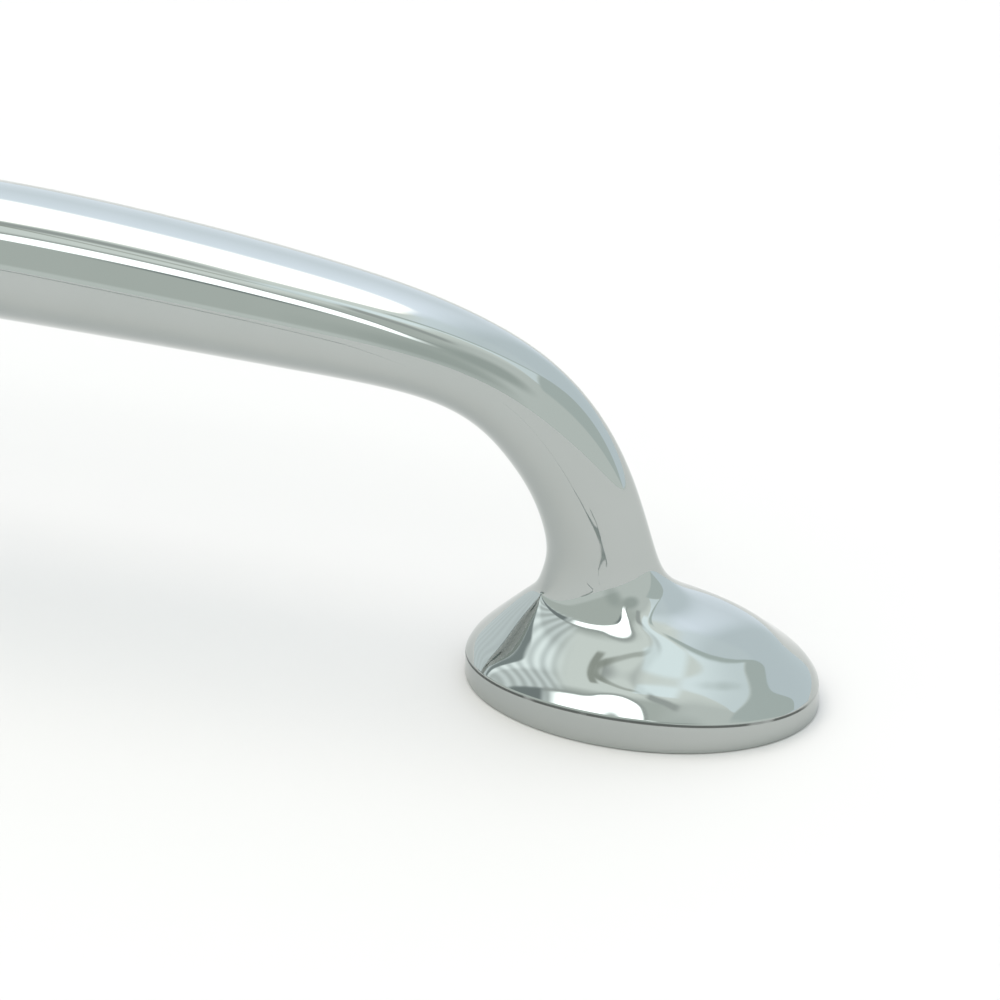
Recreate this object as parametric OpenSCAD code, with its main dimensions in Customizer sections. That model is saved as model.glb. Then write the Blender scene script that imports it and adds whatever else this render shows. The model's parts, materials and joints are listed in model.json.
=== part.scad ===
// Hand grab rail for a boat: one bow-shaped casting on two oval domed feet,
// fixed from behind by a double-end stud, sealing pad, penny washer,
// spring washer and nut under each foot.
// Frame: X along the rail, Y across it, Z up from the deck. Origin midway
// between the studs on the face of the deck. Units are millimetres.

/* [Rail] */
// Distance between the two studs
stud_centres = 200; // [180:1:300]
// Height of the grip's middle line above the deck
grip_z = 53.9; // [45:0.1:70]
// Thickness of the grip at its middle
grip_d = 19.6; // [16:0.1:24]
// Thickness of a leg along the rail, at its waist. Legs are oval, two thirds as thick across
leg_d = 15; // [13:0.1:18]

/* [Feet] */
// Length of a foot along the rail
foot_l = 51; // [44:0.5:70]
// Width of a foot across the rail
foot_w = 34.4; // [28:0.2:50]
// Height of the foot's vertical rim, on average around the oval
rim_h = 4.2; // [3:0.1:8]
// How much lower the rim's top is at the ends than on average
rim_wave = 0.7; // [0:0.1:1.5]
// Draft of the rim: how much wider it is at the deck
rim_draft = 0.1; // [0:0.1:1]

/* [Sealing pads] */
// Width of the metal rim left around each recess
land_w = 3.6; // [2:0.1:6]
// Depth of the recess, and thickness of the pad that fills it
pad_t = 1.6; // [1:0.1:3]
// Diameter of the hole in the pad
pad_hole_d = 9; // [8.5:0.1:14]

/* [Studs] */
// Diameter of the plain shank, which passes through the deck
shank_d = 8; // [6:1:10]
// Diameter the threads are drawn at, between root and crest
thread_d = 7.4; // [5.5:0.1:9.5]
// Depth of thread inside the foot
stud_in = 14; // [10:0.5:16]
// Length of the plain shank
shank_l = 23; // [10:1:40]
// Length of the lower thread
thread_l = 22; // [14:1:40]

/* [Fixings] */
// Thickness of deck the fixings are drawn clamping
deck_t = 25; // [12:1:40]
// Outside diameter of the penny washer
washer_d = 30; // [24:1:40]
// Thickness of the penny washer
washer_t = 1.5; // [1:0.1:3]
// Outside diameter of the spring washer
spring_d = 14.8; // [12:0.1:16]
// Thickness of the spring washer
spring_t = 2; // [1.5:0.1:3]
// Nut size across the flats
nut_af = 13; // [10:1:17]
// Nut height
nut_h = 6.8; // [5:0.1:9]

/* [Hidden] */
half = stud_centres / 2;
k = half / 100;
g = grip_d / 19.6;
w = leg_d / 15;
STEPS = 4;
SEGS = 36;
eps = 0.01;

// Sections of the right half, from the middle of the grip to the foot's rim:
// [x, z, tilt of the section, half depth, half width, wave]
SECTIONS = [
  [0,           grip_z,        90,   9.8 * g,  9.9 * g,  0],
  [18.4 * k,    grip_z - 0.6,  88.2, 9.4 * g,  9.7 * g,  0],
  [35.6 * k,    grip_z - 1.5,  87.7, 8.8 * g,  9.2 * g,  0],
  [51.1 * k,    grip_z - 2.7,  86.5, 8.1 * g,  8.4 * g,  0],
  [64.0 * k,    grip_z - 4.0,  80.2, 7.3 * g,  7.4 * g,  0],
  [74.1 * k,    grip_z - 6.3,  67.7, 6.8 * w,  6.3 * w,  0],
  [half - 18.5, grip_z - 10.0, 51.6, 7.2 * w,  5.8 * w,  0],
  [half - 12.8, grip_z - 15.8, 31.8, 7.6 * w,  5.5 * w,  0],
  [half - 8.5,  30.5,          9.9,  7.5 * w,  5.0 * w,  0],
  [half - 5.9,  21.4,          0,    7.6 * w,  4.8 * w,  0],
  [half - 5.5,  17.1,          0,    8.9 * w,  5.6 * w,  0],
  [half - 3.7,  14.9,          0,    11.5,     6.6,      0],
  [half - 1.1,  13.6,          0,    14.9,     7.6,      0],
  [half,        11.7,          0,    18.1,     9.5,      0],
  [half - 0.1,  9.2,           0,    20.9,     12.3,     0.3],
  [half - 0.1,  7.2,           0,    23.1,     14.7,     0.5],
  [half,        5.7,           0,    24.7,     16.0,     0.6],
  [half,        rim_h,         0,    foot_l / 2, foot_w / 2, rim_wave]];
LAST = len(SECTIONS) - 1;

// The section before the middle is the mirror of the one after it, and the
// curve stops at the rim.
function section(i) = i < 0
  ? [-SECTIONS[-i][0], SECTIONS[-i][1], 180 - SECTIONS[-i][2],
     SECTIONS[-i][3], SECTIONS[-i][4], SECTIONS[-i][5]]
  : SECTIONS[min(i, LAST)];

// Smooth blend of the four sections around a station
function blend(i, u) =
  section(i - 1) * pow(1 - u, 3) / 6
  + section(i) * (3 * pow(u, 3) - 6 * u * u + 4) / 6
  + section(i + 1) * (-3 * pow(u, 3) + 3 * u * u + 3 * u + 1) / 6
  + section(i + 2) * pow(u, 3) / 6;

COUNT = (LAST + 1) * STEPS;
function station(n) = n >= COUNT ? SECTIONS[LAST] : blend(floor(n / STEPS), (n % STEPS) / STEPS);

// One ring of points around a section. side is 1 for the right half, -1 for the left.
function ring(s, side) = [for (j = [0 : SEGS - 1])
  let (a = 360 * j / SEGS)
  [side * (s[0] + cos(s[2]) * s[3] * cos(a)),
   s[4] * sin(a),
   s[1] + sin(s[2]) * s[3] * cos(a) - s[5] * cos(2 * a)]];

// The foot's outline where it meets the deck
function rim(side) = [for (j = [0 : SEGS - 1])
  let (a = 360 * j / SEGS)
  [side * (half + (foot_l / 2 + rim_draft) * cos(a)), (foot_w / 2 + rim_draft) * sin(a), 0]];

RINGS = [rim(-1),
         for (n = [COUNT : -1 : 1]) ring(station(n), -1),
         for (n = [0 : COUNT]) ring(station(n), 1),
         rim(1)];
NR = len(RINGS);

module left()  { translate([-half, 0, 0]) children(); }
module right() { translate([half, 0, 0]) children(); }

function oval(a, b, n) = [for (j = [0 : n - 1]) [a * cos(360 * j / n), b * sin(360 * j / n)]];

module bow() {
  polyhedron(
    points = [for (r = RINGS) each r],
    faces = [
      [for (j = [SEGS - 1 : -1 : 0]) j],
      for (i = [0 : NR - 2], j = [0 : SEGS - 1])
        let (m = (j + 1) % SEGS)
        each [[i * SEGS + j, i * SEGS + m, (i + 1) * SEGS + m],
              [i * SEGS + j, (i + 1) * SEGS + m, (i + 1) * SEGS + j]],
      [for (j = [0 : SEGS - 1]) (NR - 1) * SEGS + j]],
    convexity = 6);
}

// Recess for the sealing pad and the tapped hole, cut from below
module foot_cuts() {
  translate([0, 0, -1])
    linear_extrude(height = pad_t + 1)
      polygon(oval(foot_l / 2 - land_w, foot_w / 2 - land_w, 48));
  translate([0, 0, -1])
    cylinder(h = stud_in + 2, d = thread_d + 0.1, $fn = 48);
}

module rail() {
  color([0.80, 0.82, 0.83])
  difference() {
    bow();
    left() foot_cuts();
    right() foot_cuts();
  }
}

// Double-end stud: upper thread in the foot, plain shank, lower thread
module stud() {
  color([0.66, 0.67, 0.68])
  rotate_extrude($fn = 48)
    polygon([
      [0, stud_in], [thread_d / 2 - 0.8, stud_in], [thread_d / 2, stud_in - 0.8],
      [thread_d / 2, 0], [shank_d / 2, 0], [shank_d / 2, -shank_l],
      [thread_d / 2, -shank_l - (shank_d - thread_d) / 2],
      [thread_d / 2, -shank_l - thread_l + 0.8],
      [thread_d / 2 - 0.8, -shank_l - thread_l], [0, -shank_l - thread_l]]);
}

module pad() {
  color([0.10, 0.10, 0.11])
  difference() {
    linear_extrude(height = pad_t)
      polygon(oval(foot_l / 2 - land_w - 0.05, foot_w / 2 - land_w - 0.05, 48));
    translate([0, 0, -1]) cylinder(h = pad_t + 2, d = pad_hole_d, $fn = 48);
  }
}

module penny_washer() {
  color([0.70, 0.71, 0.72])
  translate([0, 0, -deck_t - washer_t])
    difference() {
      cylinder(h = washer_t, d = washer_d, $fn = 64);
      translate([0, 0, -1]) cylinder(h = washer_t + 2, d = 8.4, $fn = 48);
    }
}

// Split ring, with the split facing inwards along the rail
module spring_washer() {
  color([0.62, 0.63, 0.64])
  translate([0, 0, -deck_t - washer_t - spring_t])
    difference() {
      cylinder(h = spring_t, d = spring_d, $fn = 48);
      translate([0, 0, -1]) cylinder(h = spring_t + 2, d = 8.2, $fn = 48);
      translate([3, -0.5, -1]) cube([8, 1, spring_t + 2]);
    }
}

// Hexagon nut with its corners chamfered on both faces
module nut() {
  top = -deck_t - washer_t - spring_t;
  corner = nut_af / cos(30) / 2;
  color([0.70, 0.71, 0.72])
  translate([0, 0, top - nut_h])
    difference() {
      intersection() {
        rotate([0, 0, 30]) cylinder(h = nut_h, r = corner, $fn = 6);
        rotate_extrude($fn = 64)
          polygon([[0, 0], [nut_af / 2 - 0.2, 0], [corner + 0.2, 0.75], [corner + 0.2, nut_h - 0.75],
                   [nut_af / 2 - 0.2, nut_h], [0, nut_h]]);
      }
      translate([0, 0, -1]) cylinder(h = nut_h + 2, d = thread_d + 0.1, $fn = 48);
    }
}

rail();
left() stud();  // left_stud
left() pad();  // left_pad
left() penny_washer();  // left_penny_washer
left() mirror([1, 0, 0]) spring_washer();  // left_spring_washer
left() nut();  // left_nut
right() stud();  // right_stud
right() pad();  // right_pad
right() penny_washer();  // right_penny_washer
right() spring_washer();  // right_spring_washer
right() nut();  // right_nut
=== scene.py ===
# Boat grab rail: a chrome-plated casting on two oval domed feet, with the
# stud, pad, washers and nut that hold each foot to a deck.
# Row frame: X along the rail, Y across it, Z up from the deck. Metres.
import json
import math

import bmesh
import bpy
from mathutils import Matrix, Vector
from mathutils.geometry import tessellate_polygon

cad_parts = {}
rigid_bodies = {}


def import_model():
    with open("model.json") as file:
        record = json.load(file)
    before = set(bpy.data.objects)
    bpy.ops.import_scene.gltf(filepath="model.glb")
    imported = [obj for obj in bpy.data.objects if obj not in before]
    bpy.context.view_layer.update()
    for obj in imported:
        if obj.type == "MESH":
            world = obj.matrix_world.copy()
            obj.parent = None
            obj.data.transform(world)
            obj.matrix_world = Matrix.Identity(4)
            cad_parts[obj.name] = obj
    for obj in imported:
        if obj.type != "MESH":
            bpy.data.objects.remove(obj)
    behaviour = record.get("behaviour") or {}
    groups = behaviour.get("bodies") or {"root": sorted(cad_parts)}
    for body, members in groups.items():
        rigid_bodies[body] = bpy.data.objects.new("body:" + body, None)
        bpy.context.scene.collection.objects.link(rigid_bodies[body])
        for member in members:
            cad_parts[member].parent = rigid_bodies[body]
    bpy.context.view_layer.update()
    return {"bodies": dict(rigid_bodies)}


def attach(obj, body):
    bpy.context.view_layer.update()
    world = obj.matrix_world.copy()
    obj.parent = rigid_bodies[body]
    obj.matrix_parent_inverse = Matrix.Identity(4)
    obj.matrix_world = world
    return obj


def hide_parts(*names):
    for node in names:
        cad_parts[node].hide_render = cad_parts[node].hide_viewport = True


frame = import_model()
BODY = list(frame["bodies"])[0]
MM = 0.001
tau = 2 * math.pi

scene = bpy.context.scene
scene.view_settings.view_transform = "Standard"
scene.view_settings.look = "None"
scene.view_settings.exposure = 0.0
scene.view_settings.gamma = 1.0


# ---------------------------------------------------------------- mesh helpers
def add_object(name, verts, faces, sharp=35.0, smooth=True):
    me = bpy.data.meshes.new(name)
    me.from_pydata([tuple(c * MM for c in v) for v in verts], [], faces)
    me.validate()
    bm = bmesh.new()
    bm.from_mesh(me)
    bmesh.ops.recalc_face_normals(bm, faces=bm.faces)
    lim = math.radians(sharp)
    for f in bm.faces:
        f.smooth = smooth
    for e in bm.edges:
        if len(e.link_faces) == 2 and e.calc_face_angle(0.0) > lim:
            e.smooth = False
    bm.to_mesh(me)
    bm.free()
    ob = bpy.data.objects.new(name, me)
    scene.collection.objects.link(ob)
    return ob


def grid_faces(rows, cols, wrap_rows=False, flip=False):
    """Quads over a grid whose columns run round in a circle."""
    out = []
    for i in range(rows if wrap_rows else rows - 1):
        for j in range(cols):
            a, b = i * cols + j, i * cols + (j + 1) % cols
            k = (i + 1) % rows
            c, d = k * cols + (j + 1) % cols, k * cols + j
            out.append((a, d, c, b) if flip else (a, b, c, d))
    return out


def arc(cx, cy, r, a0, a1, n):
    """Points of an arc in a profile, angles in degrees."""
    return [(cx + r * math.cos(math.radians(a0 + (a1 - a0) * i / n)),
             cy + r * math.sin(math.radians(a0 + (a1 - a0) * i / n))) for i in range(n + 1)]


# ------------------------------------------------------------------- the rail
# Sections of the right half from the middle of the grip to the foot's rim:
# x, z, tilt of the section, half depth, half width, wave.
SECTIONS = [
    (0, 53.9, 90, 9.8, 9.9, 0), (18.4, 53.3, 88.2, 9.4, 9.7, 0), (35.6, 52.4, 87.7, 8.8, 9.2, 0),
    (51.1, 51.2, 86.5, 8.1, 8.4, 0), (64, 49.9, 80.2, 7.3, 7.4, 0), (74.1, 47.6, 67.7, 6.8, 6.3, 0),
    (81.5, 43.9, 51.6, 7.2, 5.8, 0), (87.2, 38.1, 31.8, 7.6, 5.5, 0), (91.5, 30.5, 9.9, 7.5, 5, 0),
    (94.1, 21.4, 0, 7.6, 4.8, 0), (94.5, 17.1, 0, 8.9, 5.6, 0), (96.3, 14.9, 0, 11.5, 6.6, 0),
    (98.9, 13.6, 0, 14.9, 7.6, 0), (100, 11.7, 0, 18.1, 9.5, 0), (99.9, 9.2, 0, 20.9, 12.3, 0.3),
    (99.9, 7.2, 0, 23.1, 14.7, 0.5), (100, 5.7, 0, 24.7, 16, 0.6), (100, 4.2, 0, 25.5, 17.2, 0.7)]
LAST = len(SECTIONS) - 1
HALF = 100.0
FOOT_A, FOOT_B = 25.5, 17.2
DRAFT = 0.1
PAD_A, PAD_B, PAD_T = FOOT_A - 3.6, FOOT_B - 3.6, 1.6
BORE_R, BORE_TOP = 3.75, 15.0


def section(i):
    if i < 0:
        s = SECTIONS[-i]
        return (-s[0], s[1], 180 - s[2], s[3], s[4], s[5])
    return SECTIONS[min(i, LAST)]


def blend(i, u):
    w = ((1 - u) ** 3 / 6, (3 * u ** 3 - 6 * u * u + 4) / 6,
         (-3 * u ** 3 + 3 * u * u + 3 * u + 1) / 6, u ** 3 / 6)
    rows = [section(i - 1), section(i), section(i + 1), section(i + 2)]
    return [sum(wk * r[c] for wk, r in zip(w, rows)) for c in range(6)]


def on_section(s, a):
    """Point of a section at angle a, for the right half."""
    t = math.radians(s[2])
    return (s[0] + math.cos(t) * s[3] * math.cos(a), s[4] * math.sin(a),
            s[1] + math.sin(t) * s[3] * math.cos(a) - s[5] * math.cos(2 * a))


def rail():
    segs, steps, edge = 192, 14, 0.45
    ang = [tau * j / segs for j in range(segs)]
    rings = []
    for i in range(LAST):                                 # all spans but the last
        for n in range(steps):
            s = blend(i, n / steps)
            rings.append([on_section(s, a) for a in ang])
    # the last span stops short of the arris by edge, each meridian by itself
    stop = []
    for a in ang:
        tip = Vector(on_section(SECTIONS[LAST], a))
        lo, hi = 0.0, 1.0
        for _ in range(40):
            mid = (lo + hi) / 2
            if (Vector(on_section(blend(LAST, mid), a)) - tip).length > edge:
                lo = mid
            else:
                hi = mid
        # if even u = 0 is nearer than edge, the meridian starts its rounding there
        stop.append(lo)
    for n in range(6):
        rings.append([on_section(blend(LAST, stop[j] * n / 5), a) for j, a in enumerate(ang)])
    start = rings[-1]
    foot = [(HALF + (FOOT_A + DRAFT) * math.cos(a), (FOOT_B + DRAFT) * math.sin(a), 0.0) for a in ang]
    tips = [on_section(SECTIONS[LAST], a) for a in ang]
    low = []
    for t, f in zip(tips, foot):
        d = (Vector(f) - Vector(t))
        low.append(tuple(Vector(t) + d * (edge / d.length)))
    for n in range(1, 7):                                 # rounded arris
        u = n / 6
        rings.append([tuple((1 - u) ** 2 * s[c] + 2 * u * (1 - u) * t[c] + u * u * l[c] for c in range(3))
                      for s, t, l in zip(start, tips, low)])
    r0 = 0.25                                             # small rounding at the deck
    for k in range(1, 5):
        u = k / 5
        rings.append([tuple(l[c] + (f[c] - l[c]) * u for c in range(3)) for l, f in zip(low, foot)])
    for k in range(0, 4):
        q = math.radians(90 * k / 3)
        rings.append([(HALF + (FOOT_A + DRAFT - r0 * (1 - math.cos(q))) * math.cos(a),
                       (FOOT_B + DRAFT - r0 * (1 - math.cos(q))) * math.sin(a),
                       r0 * (1 - math.sin(q))) for a in ang])
    # land, recess wall and floor, stud bore
    def flat(ra, rb, z):
        return [(HALF + ra * math.cos(a), rb * math.sin(a), z) for a in ang]
    rings.append(flat(FOOT_A - 2.0, FOOT_B - 2.0, 0.0))
    rings.append(flat(PAD_A + 0.15, PAD_B + 0.15, 0.0))
    rings.append(flat(PAD_A, PAD_B, 0.15))
    rings.append(flat(PAD_A, PAD_B, 1.0))
    rings.append(flat(PAD_A, PAD_B, PAD_T - 0.3))
    rings.append(flat(PAD_A - 0.1, PAD_B - 0.1, PAD_T - 0.08))
    rings.append(flat(PAD_A - 0.35, PAD_B - 0.35, PAD_T))
    for f in (0.8, 0.6, 0.4, 0.2):
        rings.append([(HALF + (4.35 + (PAD_A - 4.7) * f) * math.cos(a),
                       (4.35 + (PAD_B - 4.7) * f) * math.sin(a), PAD_T) for a in ang])
    rings.append(flat(4.35, 4.35, PAD_T))
    rings.append(flat(BORE_R, BORE_R, PAD_T + 0.6))
    rings.append(flat(BORE_R, BORE_R, 5.0))
    rings.append(flat(BORE_R, BORE_R, 10.0))
    rings.append(flat(BORE_R, BORE_R, BORE_TOP - 0.01))
    rings.append(flat(BORE_R * 0.5, BORE_R * 0.5, BORE_TOP))
    right = rings
    left = [[(-p[0], p[1], p[2]) for p in r] for r in reversed(right[1:])]
    allr = left + right
    verts = [p for r in allr for p in r]
    faces = grid_faces(len(allr), segs, flip=True)
    n = len(allr)
    verts.append((-HALF, 0, BORE_TOP))
    verts.append((HALF, 0, BORE_TOP))
    a, b = n * segs, n * segs + 1
    for j in range(segs):
        m = (j + 1) % segs
        faces.append((a, j, m))
        faces.append((b, (n - 1) * segs + m, (n - 1) * segs + j))
    return add_object("rail_casting", verts, faces, sharp=28)


# --------------------------------------------------------------- small pieces
def revolve(name, profile, cx, segs=128, sharp=30):
    """A ring whose closed (radius, z) profile is turned about the stud at x = cx."""
    rows = []
    for r, z in profile:
        rows.append([(cx + r * math.cos(tau * j / segs), r * math.sin(tau * j / segs), z) for j in range(segs)])
    verts = [p for r in rows for p in r]
    return add_object(name, verts, grid_faces(len(rows), segs, wrap_rows=True), sharp)


def stud(name, cx, top=14.0, shank_hi=0.0, shank_lo=-23.0, end=-45.0):
    """Double-end stud: rolled M8 threads at both ends, a plain shank between."""
    pitch, crest, root, shank = 1.25, 3.97, 3.30, 4.0
    segs = 64

    def tooth(ph):
        """Height of the thread at phase 0..1, flat crest and rounded root."""
        d = abs(((ph + 0.5) % 1.0) - 0.5) * 2            # 0 at the crest, 1 at the root
        if d < 0.16:
            return 1.0
        if d > 0.78:
            t = (1 - d) / 0.22
            return 0.06 * t * t
        return 0.06 + 0.94 * (0.78 - d) / 0.62

    def radius(z, j):
        ph = z / pitch + j / segs
        full = root + (crest - root) * tooth(ph)
        if z > shank_hi - 1.3:                           # upper thread and its run-out
            k = min(1.0, max(0.0, (z - (shank_hi - 1.3)) / 1.3))
        elif z < shank_lo + 1.3:
            k = min(1.0, max(0.0, ((shank_lo + 1.3) - z) / 1.3))
        else:
            k = 0.0
        k = k * k * (3 - 2 * k)
        base = 3.97 * (1 - k) + full * k
        for tip, sgn in ((top, 1), (end, -1)):           # chamfered points
            depth = (tip - z) * sgn
            if depth < 1.0:
                base = min(base, 2.95 + depth * 1.05)
        return base

    zs, z = [], end
    while z < shank_lo + 1.3:
        zs.append(z)
        z += pitch / 14
    n = 24
    zs += [shank_lo + 1.3 + (shank_hi - 1.3 - shank_lo - 1.3) * i / n for i in range(n)]
    z = shank_hi - 1.3
    while z < top:
        zs.append(z)
        z += pitch / 14
    zs.append(top)
    rows = [[(cx + radius(z, j) * math.cos(tau * j / segs), radius(z, j) * math.sin(tau * j / segs), z)
             for j in range(segs)] for z in zs]
    for r, dz in ((2.2, 0.0), (1.1, 0.0)):
        rows.append([(cx + r * math.cos(tau * j / segs), r * math.sin(tau * j / segs), top - dz) for j in range(segs)])
        rows.insert(0, [(cx + r * math.cos(tau * j / segs), r * math.sin(tau * j / segs), end + dz) for j in range(segs)])
    verts = [p for r in rows for p in r]
    faces = grid_faces(len(rows), segs)
    n = len(rows)
    verts += [(cx, 0, end), (cx, 0, top)]
    for j in range(segs):
        m = (j + 1) % segs
        faces.append((n * segs, m, j))
        faces.append((n * segs + 1, (n - 1) * segs + j, (n - 1) * segs + m))
    return add_object(name, verts, faces, sharp=50)


def nut(name, cx, z_hi=-28.5, h=6.8, af=13.0, bore=3.7):
    """Hexagon nut, chamfered both ends, with rounded corners and a countersunk bore."""
    segs, half = 240, af / 2
    verts, cols = [], None
    cham_r, slope = half * 0.955, math.tan(math.radians(30))
    rows = []
    for j in range(segs):
        a = tau * j / segs
        m = (math.degrees(a) % 60) - 30
        r = half / math.cos(math.radians(m))
        corner = half / math.cos(math.radians(30))
        over = max(0.0, r - (corner - 0.22))             # take the point off each corner
        r -= over * 0.75
        drop = (r - cham_r) * slope
        e = 0.10
        prof = [(bore, -h / 2 + 0.75), (bore + 0.62, -h / 2 + 0.05), (bore + 0.72, -h / 2), (cham_r - e, -h / 2),
                (cham_r + e * 0.5, -h / 2 + e * 0.5 * slope + 0.01)]
        prof.append((r - 0.12, -h / 2 + drop - 0.12 * slope))
        prof.append((r - 0.02, -h / 2 + drop + 0.03))
        prof.append((r, -h / 2 + drop + 0.14))
        prof += [(r, -h / 4), (r, 0.0)]
        prof += [(p[0], -p[1]) for p in reversed(prof[:-1])]
        prof += [(bore, h / 4), (bore, -h / 4)]
        rows.append([(cx + p[0] * math.cos(a), p[0] * math.sin(a), z_hi - h / 2 + p[1]) for p in prof])
    k = len(rows[0])
    verts = [p for r in rows for p in r]
    faces = []
    for j in range(segs):
        m = (j + 1) % segs
        for i in range(k):
            q = (i + 1) % k
            faces.append((j * k + i, m * k + i, m * k + q, j * k + q))
    return add_object(name, verts, faces, sharp=22)


def washer(name, cx, z_hi, t, r_out, r_in):
    """Stamped washer: die roll on the upper edges, a crisper lower edge."""
    e, b = 0.32, 0.10
    prof = arc(r_out - e, z_hi - e, e, 0, 90, 5)[::1]
    prof += [(r_out - 2.0, z_hi), ((r_out + r_in) / 2, z_hi), (r_in + 1.2, z_hi)]
    prof += arc(r_in + e * 0.7, z_hi - e * 0.7, e * 0.7, 90, 180, 4)
    prof += [(r_in, z_hi - t / 2)]
    prof += arc(r_in + b, z_hi - t + b, b, 180, 270, 3)
    prof += [((r_out + r_in) / 2, z_hi - t)]
    prof += arc(r_out - b, z_hi - t + b, b, 270, 360, 3)
    prof += [(r_out, z_hi - t / 2)]
    return revolve(name, prof, cx, segs=160, sharp=40)


def spring_washer(name, cx, z_hi=-26.5, t=2.0, r_in=4.1, r_out=7.4, gap=1.0):
    """Split ring, closed flat under load, its ends cut on a slant."""
    e = 0.18
    prof = []
    for (px, pz, a0) in ((r_out - e, z_hi - e, 0), (r_in + e, z_hi - e, 90),
                         (r_in + e, z_hi - t + e, 180), (r_out - e, z_hi - t + e, 270)):
        prof += arc(px, pz, e, a0, a0 + 90, 3)
    n, k = 150, len(prof)
    verts = []
    for i in range(n + 1):
        for r, z in prof:
            slant = 0.55 * ((z - z_hi) / t + 0.5)         # the cut leans along the ring
            half_gap = gap / 2
            a0 = (half_gap - slant) / r
            a1 = tau - (half_gap + slant) / r
            a = a0 + (a1 - a0) * i / n
            verts.append((cx + r * math.cos(a), r * math.sin(a), z))
    faces = []
    for i in range(n):
        for j in range(k):
            q = (j + 1) % k
            faces.append((i * k + j, (i + 1) * k + j, (i + 1) * k + q, i * k + q))
    faces.append(tuple(range(k)))
    faces.append(tuple(n * k + j for j in reversed(range(k))))
    return add_object(name, verts, faces, sharp=30)


def pad(name, cx, r_hole=4.5):
    """Moulded rubber pad filling the recess, with soft edges and a raised sealing lip."""
    segs = 160
    ang = [tau * j / segs for j in range(segs)]
    e = 0.22
    g = 0.05                                             # clearance to the recess wall
    a0, b0 = PAD_A - g, PAD_B - g

    def row(off, z, inner=False):
        if inner:
            return [(cx + (r_hole + off) * math.cos(a), (r_hole + off) * math.sin(a), z) for a in ang]
        return [(cx + (a0 - off) * math.cos(a), (b0 - off) * math.sin(a), z) for a in ang]

    def mid(f, z):
        return [(cx + ((r_hole + 1.4) * (1 - f) + (a0 - 3.0) * f) * math.cos(a),
                 ((r_hole + 1.4) * (1 - f) + (b0 - 3.0) * f) * math.sin(a), z) for a in ang]
    rows = [row(e, 0.0), row(e * 0.3, e * 0.3), row(0, e), row(0, PAD_T - e), row(e * 0.3, PAD_T - e * 0.3),
            row(e, PAD_T - 0.0)]
    rows += [mid(1, PAD_T), mid(0.5, PAD_T), mid(0, PAD_T)]
    rows += [row(e, PAD_T, True), row(e * 0.3, PAD_T - e * 0.3, True), row(0, PAD_T - e, True),
             row(0, e, True), row(e * 0.3, e * 0.3, True), row(e, 0.0, True)]
    # under face: two grooves either side of a flush sealing bead
    rows += [row(1.2, 0.0, True), row(1.6, 0.28, True), row(2.2, 0.28, True), row(2.6, 0.0, True)]
    rows += [mid(0.5, 0.0)]
    rows += [row(3.4, 0.0), row(3.0, 0.28), row(2.4, 0.28), row(2.0, 0.0), row(1.0, 0.0)]
    verts = [p for r in rows for p in r]
    return add_object(name, verts, grid_faces(len(rows), segs, wrap_rows=True), sharp=38)


# ------------------------------------------------------------------ materials
class Tree:
    """Small helper that writes node arithmetic as plain expressions."""

    def __init__(self, tree):
        self.t = tree

    def node(self, kind, **attrs):
        n = self.t.nodes.new(kind)
        for k, v in attrs.items():
            setattr(n, k, v)
        return n

    def put(self, sock, value):
        if isinstance(value, E):
            value = value.s
        if isinstance(value, bpy.types.NodeSocket):
            self.t.links.new(value, sock)
        elif value is not None:
            sock.default_value = value

    def math(self, op, a, b=None, c=None, clamp=False):
        n = self.node("ShaderNodeMath", operation=op, use_clamp=clamp)
        for s, v in zip(n.inputs, (a, b, c)):
            self.put(s, v)
        return E(self, n.outputs[0])

    def ramp(self, x, lo, hi, out_lo=0.0, out_hi=1.0, kind="SMOOTHSTEP"):
        """Smooth step of x from lo to hi."""
        n = self.node("ShaderNodeMapRange", interpolation_type=kind, clamp=True)
        for s, v in zip(n.inputs, (x, lo, hi, out_lo, out_hi)):
            self.put(s, v)
        return E(self, n.outputs[0])

    def band(self, x, lo, hi, soft_lo, soft_hi):
        """1 between lo and hi, with its own softness at each end."""
        up = self.ramp(x, *( [lo - soft_lo, lo + soft_lo] if not isinstance(lo, E) else [lo - soft_lo, lo + soft_lo]))
        dn = self.ramp(x, hi - soft_hi, hi + soft_hi, 1.0, 0.0)
        return up * dn

    def mix(self, f, a, b):
        n = self.node("ShaderNodeMix", data_type="RGBA")
        n.clamp_factor = True
        self.put(n.inputs[0], f)
        self.put(n.inputs[6], a)
        self.put(n.inputs[7], b)
        return n.outputs[2]

    def noise(self, vec, scale, detail=2.0, rough=0.5, dist=0.0, dims="3D"):
        n = self.node("ShaderNodeTexNoise", noise_dimensions=dims)
        self.put(n.inputs["Vector"], vec)
        n.inputs["Scale"].default_value = scale
        n.inputs["Detail"].default_value = detail
        n.inputs["Roughness"].default_value = rough
        n.inputs["Distortion"].default_value = dist
        return E(self, n.outputs["Fac"] if "Fac" in n.outputs else n.outputs[0])


class E:
    def __init__(self, tree, sock):
        self.tr, self.s = tree, sock

    def __add__(self, o):
        return self.tr.math("ADD", self, o)

    def __radd__(self, o):
        return self.tr.math("ADD", o, self)

    def __sub__(self, o):
        return self.tr.math("SUBTRACT", self, o)

    def __rsub__(self, o):
        return self.tr.math("SUBTRACT", o, self)

    def __mul__(self, o):
        return self.tr.math("MULTIPLY", self, o)

    def __rmul__(self, o):
        return self.tr.math("MULTIPLY", o, self)

    def __truediv__(self, o):
        return self.tr.math("DIVIDE", self, o)

    def __neg__(self):
        return self.tr.math("MULTIPLY", self, -1.0)


def new_material(name):
    m = bpy.data.materials.new(name)
    m.use_nodes = True
    t = Tree(m.node_tree)
    bsdf = next(n for n in m.node_tree.nodes if n.type == "BSDF_PRINCIPLED")
    pos = t.node("ShaderNodeTexCoord").outputs["Object"]
    return m, t, bsdf, pos


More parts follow.
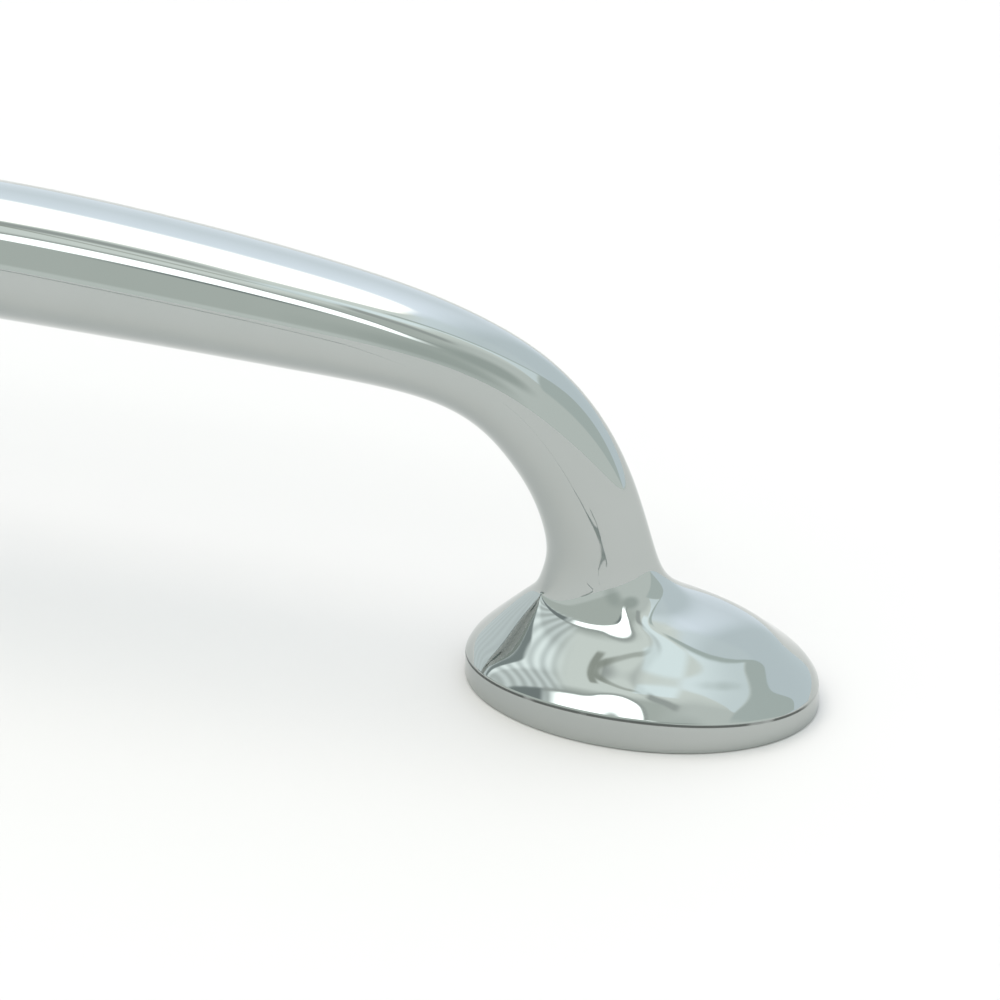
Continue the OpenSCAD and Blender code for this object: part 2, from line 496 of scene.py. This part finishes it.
def bump(t, bsdf, height, distance, strength=1.0):
    n = t.node("ShaderNodeBump")
    n.inputs["Strength"].default_value = strength
    n.inputs["Distance"].default_value = distance
    t.put(n.inputs["Height"], height)
    t.t.links.new(n.outputs["Normal"], bsdf.inputs["Normal"])


def chrome_material():
    m, t, b, pos = new_material("chrome_plate")
    b.inputs["Metallic"].default_value = 1.0
    b.inputs["IOR"].default_value = 1.5
    tint = t.noise(pos, 60.0, 3.0, 0.55)
    col = t.mix(t.ramp(tint, 0.35, 0.7), (0.455, 0.481, 0.468, 1), (0.467, 0.491, 0.479, 1))
    # thin painted dark reflection line along the arris where the polished dome meets the foot's rim: darker base
    # colour and a little more roughness, its strength varied by noise
    sep = t.node("ShaderNodeSeparateXYZ")
    t.put(sep.inputs[0], pos)
    ax = t.math("ABSOLUTE", E(t, sep.outputs[0])) - HALF * MM
    ex = ax * (1 / (FOOT_A * MM))
    ey = E(t, sep.outputs[1]) * (1 / (FOOT_B * MM))
    q2 = ex * ex + ey * ey
    wave = (ex * ex - ey * ey) / t.math("MAXIMUM", q2, 0.01)
    off = t.math("ABSOLUTE", E(t, sep.outputs[2]) - (4.02 * MM) + wave * (0.7 * MM))
    broken = t.ramp(t.noise(pos, 110.0, 2.0, 0.6), 0.38, 0.52)
    line = t.ramp(off, 0.12 * MM, 0.26 * MM, 1.0, 0.0) * t.ramp(q2, 0.94, 0.97) * (broken * 0.75 + 0.25)
    # rare pinholes in the plating
    vor = t.node("ShaderNodeTexVoronoi", feature="F1")
    t.put(vor.inputs["Vector"], pos)
    vor.inputs["Scale"].default_value = 42.0
    pits = t.ramp(E(t, vor.outputs["Distance"]), 0.006, 0.013, 1.0, 0.0)
    # real pinholes and the painted dark reflection line darken the base colour together
    pits_and_painted_line = t.math("MAXIMUM", line * 0.85, pits * 0.7)
    t.put(b.inputs["Base Color"], t.mix(pits_and_painted_line, col, (0.06, 0.065, 0.06, 1)))
    haze = t.noise(pos, 140.0, 4.0, 0.6)
    rough = t.ramp(haze, 0.3, 0.8, 0.03, 0.05)
    t.put(b.inputs["Roughness"], t.math("MAXIMUM", rough, pits_and_painted_line * 0.35))
    return m


def steel_material(name, base, rough_lo, rough_hi, scale):
    m, t, b, pos = new_material(name)
    b.inputs["Metallic"].default_value = 1.0
    n1 = t.noise(pos, scale, 4.0, 0.6)
    dark = tuple(c * 0.90 for c in base) + (1,)
    t.put(b.inputs["Base Color"], t.mix(t.ramp(n1, 0.35, 0.7), dark, tuple(base) + (1,)))
    n2 = t.noise(pos, scale * 3.0, 3.0, 0.6)
    t.put(b.inputs["Roughness"], t.ramp(n2, 0.3, 0.75, rough_lo, rough_hi))
    bump(t, b, t.noise(pos, scale * 6.0, 3.0, 0.6), 0.00002, 0.5)
    return m


def rubber_material():
    m, t, b, pos = new_material("pad_rubber")
    n1 = t.noise(pos, 500.0, 4.0, 0.6)
    t.put(b.inputs["Base Color"], t.mix(t.ramp(n1, 0.3, 0.75), (0.030, 0.030, 0.032, 1), (0.055, 0.055, 0.057, 1)))
    n2 = t.noise(pos, 1500.0, 3.0, 0.6)
    t.put(b.inputs["Roughness"], t.ramp(n2, 0.3, 0.75, 0.55, 0.8))
    b.inputs["Specular IOR Level"].default_value = 0.4
    bump(t, b, t.noise(pos, 2500.0, 3.0, 0.6), 0.00003, 0.6)
    return m


CHROME = chrome_material()
STUD = steel_material("stud_stainless", (0.50, 0.492, 0.478), 0.16, 0.27, 300.0)
FASTENER = steel_material("fastener_stainless", (0.53, 0.523, 0.508), 0.18, 0.30, 220.0)
SPRING = steel_material("spring_stainless", (0.43, 0.428, 0.42), 0.24, 0.38, 260.0)
RUBBER = rubber_material()


def place(ob, material, node):
    ob.data.materials.clear()
    ob.data.materials.append(material)
    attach(ob, BODY)
    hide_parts(node)


place(rail(), CHROME, "rail")
for side, sx in (("left", -HALF), ("right", HALF)):
    place(stud(side + "_double_end_stud", sx), STUD, side + "_stud")
    place(pad(side + "_sealing_pad", sx), RUBBER, side + "_pad")
    place(washer(side + "_wide_washer", sx, -25.0, 1.5, 15.0, 4.2), FASTENER, side + "_penny_washer")
    place(spring_washer(side + "_split_washer", sx), SPRING, side + "_spring_washer")
    place(nut(side + "_hex_nut", sx), FASTENER, side + "_nut")


# ---------------------------------------------------------------------- stage
def floor():
    """The paper, with an oval hole hidden under each foot so that light reaches
    the pads when the rail is seen from below."""
    me = bpy.data.meshes.new("stage_floor")
    r, z = 4.0, -0.00005
    loops = [[Vector((-r, -r, z)), Vector((r, -r, z)), Vector((r, r, z)), Vector((-r, r, z))]]
    for cx in (-HALF, HALF):
        loops.append([Vector(((cx + (FOOT_A - 0.7) * math.cos(i * math.pi / 32)) * MM,
                              -(FOOT_B - 0.7) * math.sin(i * math.pi / 32) * MM, z)) for i in range(64)])
    verts = [tuple(v) for loop in loops for v in loop]
    faces = []
    for i, j, k in tessellate_polygon(loops):
        a, b, c = verts[i], verts[j], verts[k]
        turn = (b[0] - a[0]) * (c[1] - a[1]) - (b[1] - a[1]) * (c[0] - a[0])
        faces.append((i, j, k) if turn > 0 else (i, k, j))
    me.from_pydata(verts, [], faces)
    ob = bpy.data.objects.new("stage_floor", me)
    scene.collection.objects.link(ob)
    m, t, b, pos = new_material("stage_paper")
    b.inputs["Roughness"].default_value = 0.9
    b.inputs["Specular IOR Level"].default_value = 0.1
    n = t.noise(pos, 2.0, 2.0, 0.5)
    t.put(b.inputs["Base Color"], t.mix(t.ramp(n, 0.3, 0.7), (0.822, 0.788, 0.773, 1), (0.832, 0.798, 0.783, 1)))
    # seen from below, the floor lets the fixings show
    geo = t.node("ShaderNodeNewGeometry")
    clear = t.node("ShaderNodeBsdfTransparent")
    mixer = t.node("ShaderNodeMixShader")
    out = next(n for n in t.t.nodes if n.type == "OUTPUT_MATERIAL")
    t.t.links.new(geo.outputs["Backfacing"], mixer.inputs[0])
    t.t.links.new(b.outputs[0], mixer.inputs[1])
    t.t.links.new(clear.outputs[0], mixer.inputs[2])
    t.t.links.new(mixer.outputs[0], out.inputs["Surface"])
    me.materials.append(m)
    return ob


floor()


def dark_reflection_strips():
    """Thin grey upright strips standing on the paper in front; hidden from the camera, from diffuse light and from
    shadows, they show only as dark lines in the chrome's reflections.
    """
    strips = [
        [(55, -100, 1.0), (46, -150, 2.5), (28, -240, 5), (-30, -420, 8), (-150, -680, 13), (-330, -980, 18), (-900, -1700, 30)],
        [(76, -160, 2.0), (82, -101, 1.5), (85, -78, 1.2), (88, -66, 1.1), (93, -61, 1.2), (98, -60, 1.4), (102, -61.5, 1.6),
         (103.5, -64, 1.6), (102.8, -67, 1.3), (101, -69.5, 0.8)]]
    verts, faces = [], []
    for pts in strips:
        for px, py, h in pts:
            verts += [(px * MM, py * MM, 0.0), (px * MM, py * MM, h * MM)]
        n = len(verts) // 2 - len(pts)
        for i in range(n, n + len(pts) - 1):
            faces.append((2 * i, 2 * i + 2, 2 * i + 3, 2 * i + 1))
    me = bpy.data.meshes.new("stage_edge")
    me.from_pydata(verts, [], faces)
    ob = bpy.data.objects.new("stage_edge", me)
    scene.collection.objects.link(ob)
    m, t, b, pos = new_material("stage_edge_grey")
    b.inputs["Base Color"].default_value = (0.42, 0.45, 0.43, 1)
    b.inputs["Roughness"].default_value = 0.9
    me.materials.append(m)
    for flag in ("visible_camera", "visible_diffuse", "visible_shadow"):
        setattr(ob, flag, False)


dark_reflection_strips()


def studio():
    """Soft studio light as panels on the sky. x is the direction's part along the
    rail; p is its angle over the rail, 0 level in front, 90 up, 180 level behind."""
    w = bpy.data.worlds.new("studio")
    scene.world = w
    w.use_nodes = True
    t = Tree(w.node_tree)
    bg = next(n for n in w.node_tree.nodes if n.type == "BACKGROUND")
    sep = t.node("ShaderNodeSeparateXYZ")
    t.put(sep.inputs[0], t.node("ShaderNodeTexCoord").outputs["Generated"])
    x = E(t, sep.outputs[0])
    y = E(t, sep.outputs[1])
    z = E(t, sep.outputs[2])
    p = t.math("ARCTAN2", z, -y) * (180 / math.pi)

    def along(points):
        """Height of a gently bent line, given at a few places along x."""
        n = t.node("ShaderNodeFloatCurve")
        cur = n.mapping.curves[0]
        pts = [((px + 1) / 2, py / 180) for px, py in points]
        cur.points[0].location = pts[0]
        cur.points[1].location = pts[-1]
        for q in pts[1:-1]:
            cur.points.new(*q)
        n.mapping.update()
        n.inputs["Factor"].default_value = 1.0
        t.put(n.inputs["Value"], (x + 1.0) * 0.5)
        return E(t, n.outputs[0]) * 180.0

    def up(v, edge, soft):
        """0 below edge, 1 above it."""
        return t.ramp(v, edge - soft, edge + soft)

    def down(v, edge, soft):
        return t.ramp(v, edge - soft, edge + soft, 1.0, 0.0)

    def blob(cx, cp, rx_, rp, edge=0.3):
        """Soft oval patch."""
        dx = (x - cx) * (1.0 / rx_)
        dp = (p - cp) * (1.0 / rp)
        d = t.math("SQRT", dx * dx + dp * dp)
        return t.ramp(d, 1.0 - edge, 1.0 + edge, 1.0, 0.0)

    # the room in front, lighter near the table
    col = t.mix(down(p, 7.0, 2.0), ROOM, (0.86, 0.915, 0.885, 1))
    # pale wall between the strip light and the softbox
    col = t.mix(up(p, 60.0, 4.0), col, (1.08, 1.14, 1.10, 1))
    # ribbed wall at the left
    ribs = t.math("SINE", (x + p * 0.003) * 95.0) * 0.5 + 0.5
    left = t.mix(ribs, (0.74, 0.80, 0.79, 1), (1.04, 1.12, 1.12, 1))
    left = t.mix(up(p, 75.0, 3.0), left, t.mix(ribs, (1.00, 1.08, 1.08, 1), (1.40, 1.50, 1.50, 1)))
    col = t.mix(down(x, -0.56, 0.08) * up(p, 44.0, 6.0), col, left)
    # right of the object the room is a shade paler
    right = up(x, 0.18, 0.14)
    col = t.mix(right * down(p, 66.0, 8.0), col, (0.84, 0.895, 0.865, 1))
    # sky behind, pale and a little blue, brightest beside the softbox
    glow = t.ramp(p, 105, 150, 1.0, 0.0, "LINEAR")
    sky = t.mix(glow, (1.05, 1.14, 1.24, 1), (1.40, 1.50, 1.68, 1))
    sky = t.mix(up(x, 0.15, 0.15), sky, (0.86, 0.96, 1.02, 1))
    sky = t.mix(down(x, -0.50, 0.12), sky, t.mix(ribs, (0.82, 0.89, 0.91, 1), (0.90, 0.98, 1.00, 1)))
    col = t.mix(up(p, 90.0, 4.0), col, sky)
    # blue-white panel high at the right, fading away from the softbox
    foot = along([(-1, 71), (0.05, 71.2), (0.2, 71.0), (0.35, 70), (0.5, 66), (0.6, 60), (1, 50)])
    rim = along([(-1, 74), (0.0, 74), (0.2, 74.2), (0.33, 75.2), (0.49, 79.6), (0.60, 87.0), (0.70, 100), (0.8, 120), (1, 150)])
    zone = t.mix(up(x, 0.20, 0.10), (1.08, 1.19, 1.26, 1), (0.90, 1.00, 1.05, 1))
    col = t.mix(up(p, rim, 0.6) * down(p, 97.0, 7.0) * up(x, 0.10, 0.04), col, zone)
    fade = t.mix(up(x, 0.34, 0.22), (1.24, 1.37, 1.42, 1), (1.02, 1.13, 1.17, 1))
    col = t.mix(up(p, foot, 0.5) * down(p, rim, 0.6) * up(x, 0.12, 0.05) * down(x, 0.62, 0.02), col, fade)
    near = up(p, 65.5, 0.7) * down(p, 71.3, 0.5) * up(x, -0.12, 0.02) * down(x, 0.14, 0.04)
    col = t.mix(near, col, (1.26, 1.40, 1.44, 1))
    # grey frame around it
    col = t.mix(up(p, rim - 1.5, 0.8) * down(p, rim + 1.2, 0.5) * up(x, 0.04, 0.02), col, (0.66, 0.75, 0.73, 1))
    col = t.mix(up(x, 0.62, 0.02) * down(p, rim, 1.0) * up(p, 50.0, 4.0), col, (0.68, 0.76, 0.74, 1))
    # strip light in front and the joins over and under it
    low = along([(-1, 46), (-0.6, 46), (-0.3, 48.0), (-0.2, 48.8), (-0.1, 46.0), (0.0, 40.0), (0.12, 33), (1, 33)])
    top = along([(-1, 53), (-0.5, 53.2), (-0.37, 54), (-0.3, 57.5), (-0.2, 59.3), (-0.1, 55.5), (0.0, 48), (0.12, 38), (1, 38)])
    reach = down(x, 0.09, 0.06) * up(x, -0.59, 0.04)
    wide = up(x, -0.66, 0.03)
    under = up(p, low - 3.0, 1.2) * down(p, low, 0.6) * up(x, -0.22, 0.05) * down(x, -0.08, 0.05)
    col = t.mix(under, col, (0.30, 0.34, 0.34, 1))
    over = up(p, top, 0.6) * down(p, top + 2.6, 1.6) * wide * down(x, 0.15, 0.04)
    col = t.mix(over * 0.85, col, (0.52, 0.56, 0.54, 1))
    col = t.mix(up(p, low, 0.5) * down(p, top, 0.8) * reach, col, (2.6, 2.7, 2.7, 1))
    # soft dark join half way up the wall, and a thin one that bends down at its left end
    mid = along([(-1, 76), (-0.5, 76), (-0.3, 75.5), (-0.2, 76.5), (-0.14, 74), (-0.1, 69.5), (0.0, 63), (0.1, 59.5), (0.19, 56), (1, 56)])
    ends = down(x, -0.15, 0.05) + up(x, -0.03, 0.025) + 0.2
    join = up(p, mid - 3.2, 1.6) * down(p, mid + 2.6, 2.0) * up(x, -0.32, 0.01) * down(x, 0.2, 0.03) * ends
    col = t.mix(join * 0.9, col, (0.56, 0.60, 0.58, 1))
    thin = along([(-1, 77), (-0.45, 76), (-0.38, 74.0), (-0.33, 72.6), (-0.26, 70.6), (-0.18, 68.4), (-0.10, 67.0), (-0.04, 64), (0.0, 60), (1, 50)])
    line = up(p, thin - 1.0, 0.5) * down(p, thin + 0.8, 0.5) * up(x, -0.365, 0.015) * down(x, -0.10, 0.05)
    bend = x + 0.368 - (73.0 - p) * 0.006
    line = t.math("MAXIMUM", line, up(bend, -0.022, 0.008) * down(bend, 0.022, 0.012) * up(p, 69.5, 1.0) * down(p, 74.5, 0.8))
    col = t.mix(line * t.ramp(x, -0.32, -0.24, 0.9, 0.6), col, (0.42, 0.45, 0.40, 1))
    # softbox overhead
    low = along([(-1, 84), (-0.3, 80), (-0.2, 82.5), (-0.1, 78.5), (0.0, 79.5), (0.05, 82), (0.12, 92), (1, 92)])
    high = along([(-1, 121), (-0.3, 121), (-0.1, 113.5), (0.0, 107.5), (0.12, 99), (1, 96)])
    box = up(p, low, 1.6) * down(p, high, 3.5) * down(x, 0.065, 0.03) * up(x, -0.56, 0.06)
    col = t.mix(box, col, (BOX, BOX * 0.975, BOX * 0.93, 1))
    # dark upright at the far left
    col = t.mix(up(p, 82.5, 1.0) * down(p, 91.0, 3.0) * down(x, -0.755, 0.02), col, (0.34, 0.39, 0.39, 1))
    # darker things in the room
    col = t.mix(blob(0.06, 14, 0.14, 15, 0.7) * 0.6, col, (0.50, 0.56, 0.53, 1))
    col = t.mix(blob(0.29, 35, 0.17, 12, 0.5) * 0.75, col, (0.48, 0.54, 0.51, 1))
    col = t.mix(down(x, -0.66, 0.03) * up(p, 46.0, 2.0) * down(p, 54.5, 1.0), col, (0.30, 0.34, 0.34, 1))
    t.put(bg.inputs["Color"], col)
    bg.inputs["Strength"].default_value = 1.1


ROOM = (0.70, 0.755, 0.715, 1)
BOX = 2.6
studio()

# --------------------------------------------------------------------- camera
az, el, dist = math.radians(18.5), math.radians(29.5), 0.900
target = Vector((0.07902, 0.0, 0.02637))
back = Vector((math.sin(az) * math.cos(el), -math.cos(az) * math.cos(el), math.sin(el)))
cd = bpy.data.cameras.new("camera")
cd.sensor_width = 36.0
cd.lens = 231.6
cd.clip_start, cd.clip_end = 0.01, 50.0
cam = bpy.data.objects.new("camera", cd)
cam.location = target + back * dist
cam.rotation_mode = "QUATERNION"
cam.rotation_quaternion = (-back).to_track_quat("-Z", "Y")
scene.collection.objects.link(cam)
scene.camera = cam
